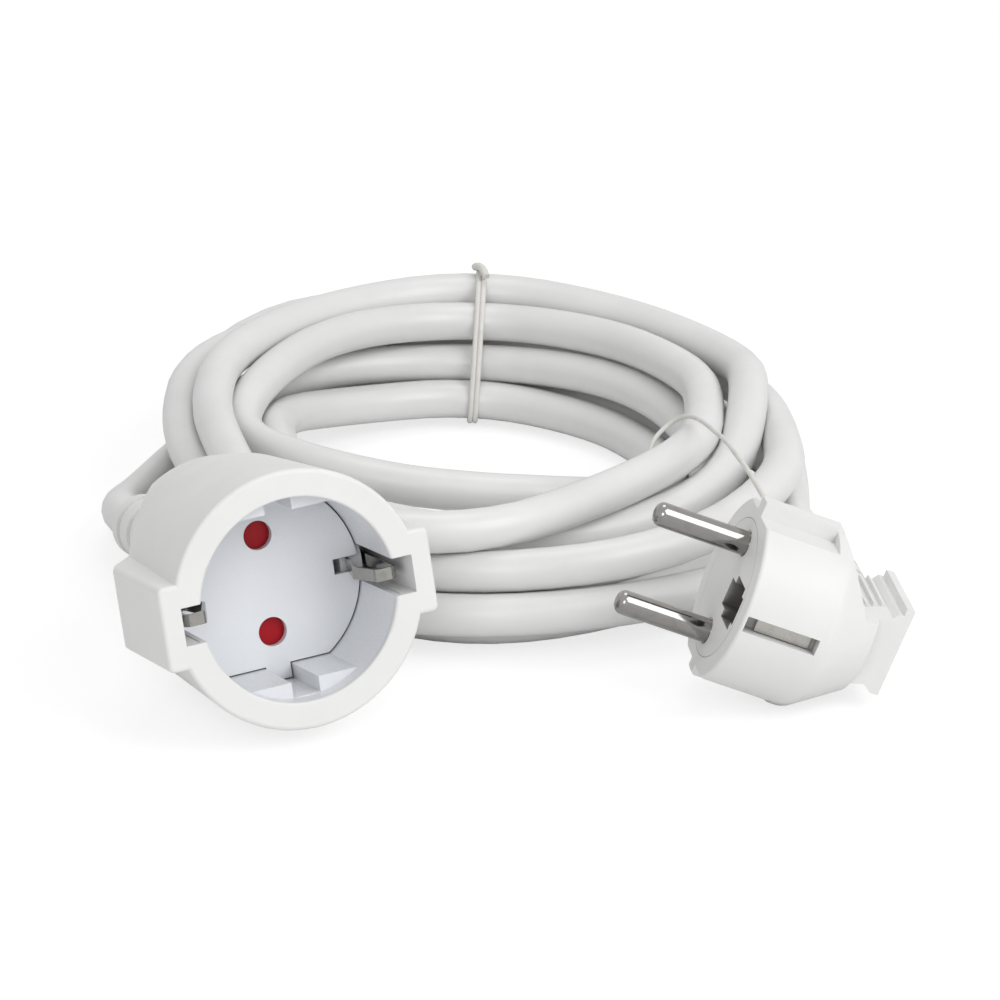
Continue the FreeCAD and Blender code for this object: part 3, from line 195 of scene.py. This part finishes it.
# Painted shade: deep holes, crevices and joints are darkened in the colour itself, more where little
# of the room is in sight (ambient occlusion).
recess, given, made = new_effect("painted_recess_shade", [
    ("Color", "Color", (0.8, 0.8, 0.8, 1)), ("Shade", "Color", (0.2, 0.2, 0.2, 1)),
    ("Reach", "Float", 0.006), ("Open at", "Float", 0.42), ("Shut at", "Float", 0.08),
    ("Amount", "Float", 0.8)],
    [("Color", "Color"), ("Mask", "Float")])
open_sky = put(recess, "AmbientOcclusion", {"Distance": given["Reach"]}, samples=8)
hidden = put(recess, "MapRange", {"Value": open_sky.outputs["AO"], "From Min": given["Open at"],
                                  "From Max": given["Shut at"]})
depth = put(recess, "Math", {0: hidden.outputs["Result"], 1: given["Amount"]},
            operation="MULTIPLY")
shaded = put(recess, "Mix", {"Factor": depth.outputs[0]}, data_type="RGBA")
join(recess, given["Color"], shaded.inputs[MIX_FIRST])
join(recess, given["Shade"], shaded.inputs[MIX_SECOND])
join(recess, shaded.outputs[MIX_COLOUR], made["Color"])
join(recess, depth.outputs[0], made["Mask"])


def effect_in(tree, effect, wires=(), **values):
    """Places an effect in a material with that material's own values."""
    node = tree.nodes.new("ShaderNodeGroup")
    node.node_tree = effect
    for key, value in values.items():
        node.inputs[key.replace("_", " ")].default_value = value
    for socket, source in dict(wires).items():
        tree.links.new(source, node.inputs[socket])
    return node.outputs


def plastic(name, clear, dull, dust_cover=0.1, cloud=60.0, grain_scale=2500.0, smoothest=0.35,
            roughest=0.5, grain_depth=0.00001, shade=(0.30, 0.30, 0.29), shade_amount=0.5,
            shade_reach=0.006, open_at=0.42, shut_at=0.08, **finish):
    """A plastic with its clouds, grain, dust and shaded holes."""
    made, tree, shader = new_material(name, **finish)
    skin = effect_in(tree, moulded, Clear_tone=(*clear, 1), Dull_tone=(*dull, 1),
                     Cloud_scale=cloud, Grain_scale=grain_scale, Smoothest=smoothest,
                     Roughest=roughest)
    veiled = effect_in(tree, dust, {"Color": skin["Color"]}, Cover=dust_cover)
    darkened = effect_in(tree, recess, {"Color": veiled["Color"]}, Shade=(*shade, 1),
                         Amount=shade_amount, Reach=shade_reach, Open_at=open_at,
                         Shut_at=shut_at)
    join(tree, darkened["Color"], shader.inputs["Base Color"])
    join(tree, skin["Roughness"], shader.inputs["Roughness"])
    bump = put(tree, "Bump", {"Height": skin["Height"]}, Strength=0.5, Distance=grain_depth)
    join(tree, bump.outputs["Normal"], shader.inputs["Normal"])
    return made


# Painted shade darkens the sheath in the crevices between neighbouring passes.
cord.data.materials.append(plastic(
    "cord_sheath", (0.765, 0.765, 0.76), (0.72, 0.72, 0.715), dust_cover=0.12, cloud=45.0,
    grain_scale=1800.0, smoothest=0.28, roughest=0.40, shade=(0.16, 0.16, 0.155),
    shade_amount=0.22))
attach(cord, MAIN)
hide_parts("coupler_lead", "cord_coil", "plug_lead")

# Ties: a covered wire laid twice round the coil's rear and twisted shut on top, and a thin string
# from the loops at the front right to the plug. Both are soft white plastic over a wire.
TIE_RADIUS = 0.0006
TIE_GAP = 0.1              # mm, from the cord's surface
TIE_BEND = 40              # degrees, about, that the tie turns at each of its points
STRAND_OFFSET = 0.55       # mm, of each strand's middle from the tie's plane
TWIST_RADIUS = 0.00085
STRING_RADIUS = 0.0005
PASS_CHORDS = 20           # straight steps for each bend of the cord, to look up its passes
TIE_FOOT, TIE_LEAN = -6.3, 0.07   # the tie's plane: x in mm on the floor, and x for each mm up
tie_reach = (CORD_RADIUS + TIE_RADIUS) * 1000 + TIE_GAP


def side_of_tie(point):
    """How far a point lies to the right of the tie's plane, in mm."""
    return point.x - TIE_FOOT - TIE_LEAN * point.z


def rear_passes():
    """Where the cord goes through the tie's plane behind the coil's middle: (y, z) in mm."""
    bare = cord.data.copy()
    bare.bevel_depth = 0.0
    bare.splines[0].resolution_u = PASS_CHORDS
    carrier = bpy.data.objects.new("cord_line", bare)
    line = bpy.data.meshes.new_from_object(carrier)
    spots = [vertex.co * 1000 for vertex in line.vertices]
    found = []
    for here, ahead in zip(spots, spots[1:]):
        left, right = side_of_tie(here), side_of_tie(ahead)
        if left * right < 0 and here.y > COIL_MIDDLE[1]:
            spot = here.lerp(ahead, left / (left - right))
            found.append((spot.y, spot.z))
    bpy.data.meshes.remove(line)
    bpy.data.objects.remove(carrier)
    bpy.data.curves.remove(bare)
    return found


def turns_left(here, ahead, other):
    """Whether the way from here to another pass lies to the left of the way ahead, or along it."""
    return ((ahead[0] - here[0]) * (other[1] - here[1])
            >= (ahead[1] - here[1]) * (other[0] - here[0]))


def tie_corners(passes):
    """The passes that the tie bends round, from the top: (y, z, first direction, last direction)."""
    outer = [max(passes, key=lambda spot: spot[1])]
    while len(outer) == 1 or outer[-1] != outer[0]:
        here = outer[-1]
        others = [spot for spot in passes if spot != here]
        outer.append(next(spot for spot in others
                          if all(turns_left(here, spot, other) for other in others)))
    outer.pop()
    headings = []
    for here, ahead in zip(outer, outer[1:] + outer[:1]):
        headings.append(math.degrees(math.atan2(here[0] - ahead[0], ahead[1] - here[1])))
    corners = []
    for place, spot in enumerate(outer):
        first = headings[place - 1]
        corners.append((*spot, first, first + (headings[place] - first) % 360))
    y, z, first, last = corners[0]
    top = (first + last) / 2
    ring = [(y, z, top, last)] + corners[1:] + [(y, z, first, top)]
    return [[round(value, 1) for value in corner] for corner in ring]


tie_bends = tie_corners(rear_passes())


def tie_strand(name, beside):
    """One of the tie's two strands, so far beside the middle of the pair."""
    loop = []
    for y, z, first, last in tie_bends:
        steps = max(2, round((last - first) / TIE_BEND))
        spread = (last - first) / steps / 2
        for step in range(steps):
            angle = math.radians(first + spread * (2 * step + 1))
            out = tie_reach / math.cos(math.radians(spread))
            height = z + out * math.sin(angle)
            loop.append((TIE_FOOT + beside + TIE_LEAN * height, y + out * math.cos(angle),
                         height))
    return laid_curve(name, loop, TIE_RADIUS), loop


tie, tie_line = tie_strand("coil_wire_tie", STRAND_OFFSET)
second_strand, _ = tie_strand("coil_wire_tie_second", -STRAND_OFFSET)
twist = laid_curve("coil_tie_twist", [
    (-3.1, 156.2, 31.4), (-3.6, 157.6, 32.4), (-4.3, 159.0, 32.8), (-5.0, 160.4, 32.6),
    (-5.6, 161.6, 32.0)], TWIST_RADIUS)
string = laid_curve("plug_string", [
    (29.6, 47.6, 15.7), (29.9, 50.8, 20.0), (30.6, 57.0, 24.6), (31.8, 62.0, 26.0),
    (34.1, 64.5, 27.6), (36.6, 64.5, 29.5), (39.0, 62.5, 30.8), (41.2, 56.0, 32.0),
    (43.0, 46.0, 33.5), (45.2, 32.0, 35.9), (46.6, 18.5, 37.6), (48.6, 4.0, 39.0),
    (50.3, -12.4, 40.0)], STRING_RADIUS)
tie_white = plastic("tie_white", (0.74, 0.73, 0.70), (0.66, 0.65, 0.61), cloud=200.0,
                    grain_scale=5000.0, smoothest=0.45, roughest=0.6)
for piece in (tie, second_strand, twist, string):
    piece.data.materials.append(tie_white)
    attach(piece, MAIN)
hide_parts("coil_tie")
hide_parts("plug_tie")

# Coupler and plug bodies: soft white PVC moulded over the inserts and the cord's end, with a
# matt eroded surface. The insert and the pins' carrier are a harder, smoother white plastic.


def dress(material, *node_names):
    """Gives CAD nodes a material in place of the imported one."""
    for name in node_names:
        if not nodes[name].material_slots:
            nodes[name].data.materials.append(material)
        for item in nodes[name].material_slots:
            item.material = material


# Painted shade darkens the bodies' grooves and the insert's holes and slots.
dress(plastic("white_overmould", (0.79, 0.79, 0.782), (0.755, 0.755, 0.747), cloud=35.0,
              grain_scale=3200.0, smoothest=0.42, roughest=0.56, shade_amount=0.75),
      "coupler_body", "plug_body")
dress(plastic("white_insert", (0.79, 0.805, 0.83), (0.76, 0.775, 0.805), dust_cover=0.04,
              cloud=50.0, grain_scale=4000.0, smoothest=0.26, roughest=0.36,
              grain_depth=0.000004, shade=(0.10, 0.10, 0.11), shade_amount=0.8),
      "coupler_cup", "face_plate")
# Painted shade: a wide, strong darkening paints the earth hole in the carrier dark.
dress(plastic("white_carrier", (0.76, 0.76, 0.75), (0.73, 0.73, 0.72), cloud=50.0,
              grain_scale=3600.0, smoothest=0.36, roughest=0.48, shade=(0.075, 0.07, 0.063),
              shade_amount=0.95, shade_reach=0.014, open_at=0.66, shut_at=0.36),
      "pin_bridge")

# Shutter: two dark red discs on one arm behind the face plate, injection moulded, that turn out
# of the way when a plug's pins push them.
dress(plastic("shutter_red", (0.40, 0.002, 0.010), (0.31, 0.0015, 0.007), dust_cover=0.0,
              cloud=90.0, grain_scale=3000.0, smoothest=0.28, roughest=0.40,
              grain_depth=0.000004, shade=(0.04, 0.001, 0.002), shade_amount=0.7,
              Specular_IOR_Level=0.25),
      "shutter")

# Contacts: round brass pins with nickel plating, spring steel earth clips and strips, and brass
# sleeves and earth socket. All are drawn or stamped, so they carry fine lines.
drawn, given, made = new_effect("drawn_metal", [
    ("Bright tone", "Color", (0.7, 0.7, 0.7, 1)), ("Tarnish", "Color", (0.5, 0.5, 0.5, 1)),
    ("Line scale", "Float", 1500.0), ("Smoothest", "Float", 0.15), ("Roughest", "Float", 0.3)],
    [("Color", "Color"), ("Roughness", "Float"), ("Height", "Float")])
spot = put(drawn, "TexCoord").outputs["Object"]
along = put(drawn, "Mapping", {"Vector": spot}, Scale=(1, 0.02, 1))
lines = put(drawn, "TexNoise", {"Vector": along.outputs["Vector"], "Scale": given["Line scale"]},
            Detail=3.0)
tarnish = put(drawn, "TexNoise", {"Vector": spot}, Scale=350.0, Detail=4.0)
patch = put(drawn, "MapRange", {"Value": tarnish.outputs["Fac"]}, From_Min=0.5, From_Max=0.75)
tone = put(drawn, "Mix", {"Factor": patch.outputs["Result"]}, data_type="RGBA")
join(drawn, given["Bright tone"], tone.inputs[MIX_FIRST])
join(drawn, given["Tarnish"], tone.inputs[MIX_SECOND])
rough = put(drawn, "MapRange", {"Value": lines.outputs["Fac"], "To Min": given["Smoothest"],
                                "To Max": given["Roughest"]}, From_Min=0.3, From_Max=0.7)
join(drawn, tone.outputs[MIX_COLOUR], made["Color"])
join(drawn, rough.outputs["Result"], made["Roughness"])
join(drawn, lines.outputs["Fac"], made["Height"])


def metal(name, bright, tarnished, smoothest, roughest):
    """A drawn or stamped metal with its lines and tarnish."""
    made, tree, shader = new_material(name, Metallic=1.0)
    skin = effect_in(tree, drawn, Bright_tone=(*bright, 1), Tarnish=(*tarnished, 1),
                     Smoothest=smoothest, Roughest=roughest)
    join(tree, skin["Color"], shader.inputs["Base Color"])
    join(tree, skin["Roughness"], shader.inputs["Roughness"])
    bump = put(tree, "Bump", {"Height": skin["Height"]}, Strength=0.15, Distance=0.000002)
    join(tree, bump.outputs["Normal"], shader.inputs["Normal"])
    return made


# Painted reflection: the nickel is darker than real nickel, standing in for the dark surroundings
# that real pins reflect.
dress(metal("nickel", (0.30, 0.29, 0.28), (0.25, 0.24, 0.23), smoothest=0.09, roughest=0.13),
      "live_pin", "neutral_pin")
dress(metal("spring_steel", (0.36, 0.35, 0.33), (0.27, 0.26, 0.24), smoothest=0.14,
            roughest=0.20),
      "earth_clips", "shutter_spring")
dress(metal("strip_steel", (0.50, 0.485, 0.46), (0.40, 0.385, 0.36), smoothest=0.24,
            roughest=0.34),
      "plug_earth_strips")
dress(metal("brass", (0.72, 0.53, 0.26), (0.50, 0.36, 0.18), smoothest=0.22, roughest=0.38),
      "live_sleeve", "neutral_sleeve", "earth_socket")

# Cores: stranded copper in thin PVC, brown for live, blue for neutral, and green with a yellow
# stripe for earth, from the sheath's end to the contacts.
for colour, clear, dull in (("brown", (0.14, 0.055, 0.025), (0.10, 0.040, 0.018)),
                            ("blue", (0.02, 0.10, 0.42), (0.015, 0.07, 0.32))):
    end = "live_core" if colour == "brown" else "neutral_core"
    dress(plastic("core_" + colour, clear, dull, dust_cover=0.03, cloud=120.0, smoothest=0.35,
                  roughest=0.48),
          "coupler_" + end, "plug_" + end)
earth = plastic("core_green_yellow", (0.03, 0.26, 0.05), (0.02, 0.20, 0.04), dust_cover=0.03,
                cloud=120.0)
tree = earth.node_tree
shader = tree.nodes["Principled BSDF"]
green = shader.inputs["Base Color"].links[0].from_socket
stripe = put(tree, "TexWave", {"Vector": put(tree, "TexCoord").outputs["Object"]},
             bands_direction="Z", Scale=110.0)
edge = put(tree, "MapRange", {"Value": stripe.outputs["Fac"]}, From_Min=0.62, From_Max=0.66)
striped = put(tree, "Mix", {"Factor": edge.outputs["Result"]}, data_type="RGBA")
join(tree, green, striped.inputs[MIX_FIRST])
striped.inputs[MIX_SECOND].default_value = (0.75, 0.58, 0.03, 1)
join(tree, striped.outputs[MIX_COLOUR], shader.inputs["Base Color"])
dress(earth, "coupler_earth_core", "plug_earth_core")

# Stage: a plain white paper sweep that keeps a soft shadow, daylight all round and three soft
# lamps: one at the right, one beside the camera, and one overhead towards the rear.
FLOOR_REACH = 6.0
PAPER_GLOW = 0.62          # share of an even white in what the camera sees of the paper
floor = bpy.data.objects.new("floor", bpy.data.meshes.new("floor"))
shape = bmesh.new()
bmesh.ops.create_grid(shape, x_segments=1, y_segments=1, size=FLOOR_REACH)
shape.to_mesh(floor.data)
shape.free()
bpy.context.scene.collection.objects.link(floor)
paper, tree, shader = new_material("white_paper", Roughness=0.9, Specular_IOR_Level=0.0,
                                   Base_Color=(0.88, 0.88, 0.88, 1))
glow = put(tree, "Emission", Color=(1, 1, 1, 1), Strength=1.2)
seen = put(tree, "LightPath").outputs
share = put(tree, "Math", {0: seen["Is Camera Ray"]}, operation="MULTIPLY")
share.inputs[1].default_value = PAPER_GLOW
mixed = put(tree, "MixShader", {0: share.outputs[0]})
join(tree, shader.outputs[0], mixed.inputs[1])
join(tree, glow.outputs[0], mixed.inputs[2])
join(tree, mixed.outputs[0], tree.nodes["Material Output"].inputs["Surface"])
floor.data.materials.append(paper)

world = bpy.data.worlds.new("studio")
bpy.context.scene.world = world
world.use_nodes = True
tree = world.node_tree
sky = tree.nodes["Background"]
sky.inputs["Color"].default_value = (1, 1, 1, 1)
sky.inputs["Strength"].default_value = 0.53
white = put(tree, "Background", Color=(1, 1, 1, 1), Strength=1.0)
seen = put(tree, "LightPath").outputs
seen_or_glossy = put(tree, "Math", {0: seen["Is Camera Ray"], 1: seen["Is Glossy Ray"]},
                     operation="MAXIMUM")
shown_white = put(tree, "Math", {0: seen_or_glossy.outputs[0], 1: seen["Is Transmission Ray"]},
                  operation="MAXIMUM")
backdrop = put(tree, "MixShader", {0: shown_white.outputs[0]})
join(tree, sky.outputs[0], backdrop.inputs[1])
join(tree, white.outputs[0], backdrop.inputs[2])
join(tree, backdrop.outputs[0], tree.nodes["World Output"].inputs["Surface"])


def lamp(name, place, target, size, power):
    """A square soft light that faces the set."""
    light = bpy.data.lights.new(name, "AREA")
    light.size = size
    light.energy = power
    made = bpy.data.objects.new(name, light)
    made.location = place
    aim = Vector(target) - Vector(place)
    made.rotation_euler = aim.to_track_quat("-Z", "Y").to_euler()
    bpy.context.scene.collection.objects.link(made)


lamp("key_lamp", (0.75, -0.53, 0.74), (0.02, 0.0, 0.02), size=0.75, power=5.8)
lamp("fill_lamp", (-0.2, -1.1, 0.6), (0, 0.03, 0.02), size=0.5, power=2.7)
lamp("top_lamp", (0.05, 0.35, 1.1), (0, 0.06, 0.0), size=0.5, power=1.8)
